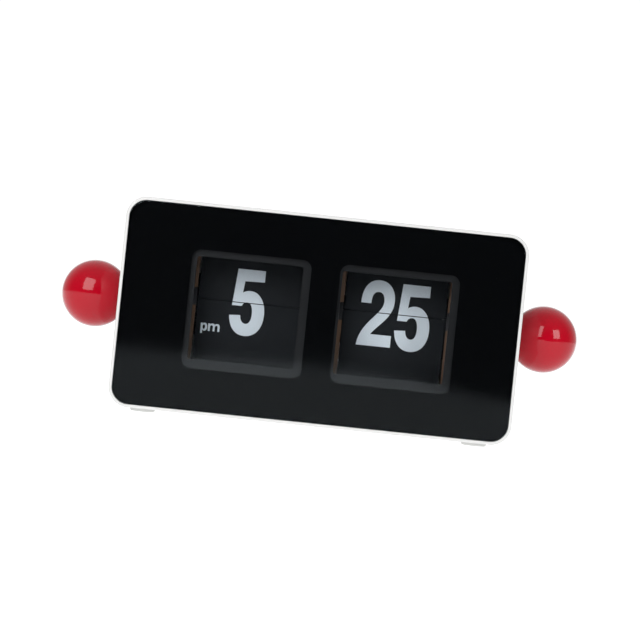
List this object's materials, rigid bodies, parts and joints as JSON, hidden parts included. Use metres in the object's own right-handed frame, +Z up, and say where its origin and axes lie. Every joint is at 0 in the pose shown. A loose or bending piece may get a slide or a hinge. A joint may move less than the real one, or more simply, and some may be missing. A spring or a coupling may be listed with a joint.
{
  "type": "flip number clock",
  "caption": "Battery desk clock in a white rounded case: split number leaves fall behind two windows in a black lens, and a ball knob on each side sets hours and minutes.",
  "frame": {"origin": "middle of the footprint, on the plane the feet stand on", "axes": "+X to the viewer's right along the width, +Y towards the back (the lens faces -Y), +Z up"},
  "size_m": [0.2548, 0.08, 0.1022],
  "materials": {
    "case_white": "satin white enamel",
    "lens_clear": "clear, polished",
    "mask_black": "gloss black backing",
    "bezel_grey": "fine matt",
    "leaf_black": "matt printed sheet",
    "drum_plastic": "moulded",
    "knob_red": "high gloss",
    "steel": "turned",
    "passivated_plate": "warm passivated sheet",
    "brass_part": "machined",
    "gear_plastic": "moulded acetal",
    "housing_plastic": "moulded",
    "foot_rubber": "matt, pale",
    "cell_jacket": "printed sleeve",
    "spring_steel": "plated strip",
    "board_green": "lacquered board",
    "copper_wire": "enamelled copper",
    "magnet_grey": "sintered",
    "lead_jacket": "insulated lead"
  },
  "bodies": {
    "clock": {"case_shell": "case_white", "feet": "foot_rubber", "front_lens": "lens_clear", "window_mask": "mask_black", "leaf_frame": "bezel_grey", "rear_cover": "case_white", "rear_screws": "steel", "battery_holder": "housing_plastic", "battery_cell": "cell_jacket", "positive_contact": "spring_steel", "negative_contact": "spring_steel", "battery_leads": "lead_jacket", "chassis_base": "passivated_plate", "chassis_screws": "steel", "left_plate": "passivated_plate", "hour_plate": "passivated_plate", "minute_plate": "passivated_plate", "right_plate": "passivated_plate", "tie_rods": "steel", "rod_nuts": "brass_part", "hour_bush": "brass_part", "hour_leaves_fallen": "leaf_black", "hour_leaves_waiting": "leaf_black", "hour_catch": "spring_steel", "minute_bush": "brass_part", "minute_leaves_fallen": "leaf_black", "minute_leaves_waiting": "leaf_black", "minute_catch": "spring_steel", "motor_housing": "housing_plastic", "motor_cover": "housing_plastic", "motor_brackets": "passivated_plate", "stator": "magnet_grey", "coil_bobbin": "gear_plastic", "coil_winding": "copper_wire", "circuit_board": "board_green", "control_chip": "housing_plastic", "quartz_crystal": "spring_steel"},
    "minute_drum": {"minute_arbor": "steel", "minute_knob": "knob_red", "minute_clip": "spring_steel", "minute_drum": "drum_plastic", "minute_gear": "gear_plastic", "minute_carry_pinion": "brass_part"},
    "hour_drum": {"hour_arbor": "steel", "hour_knob": "knob_red", "hour_clip": "spring_steel", "hour_drum": "drum_plastic", "hour_carry_gear": "gear_plastic"},
    "carry_wheel": {"carry_arbor": "steel", "carry_wheel": "gear_plastic", "carry_pinion": "brass_part"},
    "intermediate_wheel": {"intermediate_arbor": "steel", "intermediate_wheel": "gear_plastic", "intermediate_pinion": "brass_part"},
    "rotor": {"rotor_arbor": "steel", "rotor_magnet": "magnet_grey", "rotor_pinion": "brass_part"},
    "hour_leaf": {"hour_top_leaf": "leaf_black"},
    "minute_leaf": {"minute_top_leaf": "leaf_black"},
    "battery_door": {"battery_door": "case_white"}
  },
  "joints": [
    {"name": "minute_spin", "type": "hinge", "parent": "clock", "child": "minute_drum", "pos_m": [0, 0, 0.0542], "axis": [1, 0, 0], "continuous": true},
    {"name": "hour_spin", "type": "hinge", "parent": "clock", "child": "hour_drum", "pos_m": [0, 0, 0.0542], "axis": [1, 0, 0], "continuous": true},
    {"name": "carry_spin", "type": "hinge", "parent": "clock", "child": "carry_wheel", "pos_m": [0, 0, 0.071], "axis": [1, 0, 0], "continuous": true},
    {"name": "intermediate_spin", "type": "hinge", "parent": "clock", "child": "intermediate_wheel", "pos_m": [0.068, 0.00575, 0.03841], "axis": [1, 0, 0], "continuous": true},
    {"name": "rotor_spin", "type": "hinge", "parent": "clock", "child": "rotor", "pos_m": [0.075, 0.01115, 0.02906], "axis": [1, 0, 0], "continuous": true},
    {"name": "hour_leaf_fall", "type": "hinge", "parent": "clock", "child": "hour_leaf", "pos_m": [-0.0349, -0.01196, 0.0584], "axis": [1, 0, 0], "range_deg": [0, 181.5]},
    {"name": "minute_leaf_fall", "type": "hinge", "parent": "clock", "child": "minute_leaf", "pos_m": [0.0364, -0.0129, 0.0594], "axis": [1, 0, 0], "range_deg": [0, 181.5]},
    {"name": "battery_door_swing", "type": "hinge", "parent": "clock", "child": "battery_door", "pos_m": [0, 0.0387, 0.0114], "axis": [-1, 0, 0], "range_deg": [0, 90]}
  ],
  "couplings": [
    {"joint": "hour_spin", "follows": "minute_spin", "ratio": 0.041667},
    {"joint": "carry_spin", "follows": "minute_spin", "ratio": -0.25},
    {"joint": "intermediate_spin", "follows": "minute_spin", "ratio": -6},
    {"joint": "rotor_spin", "follows": "minute_spin", "ratio": 30}
  ]
}
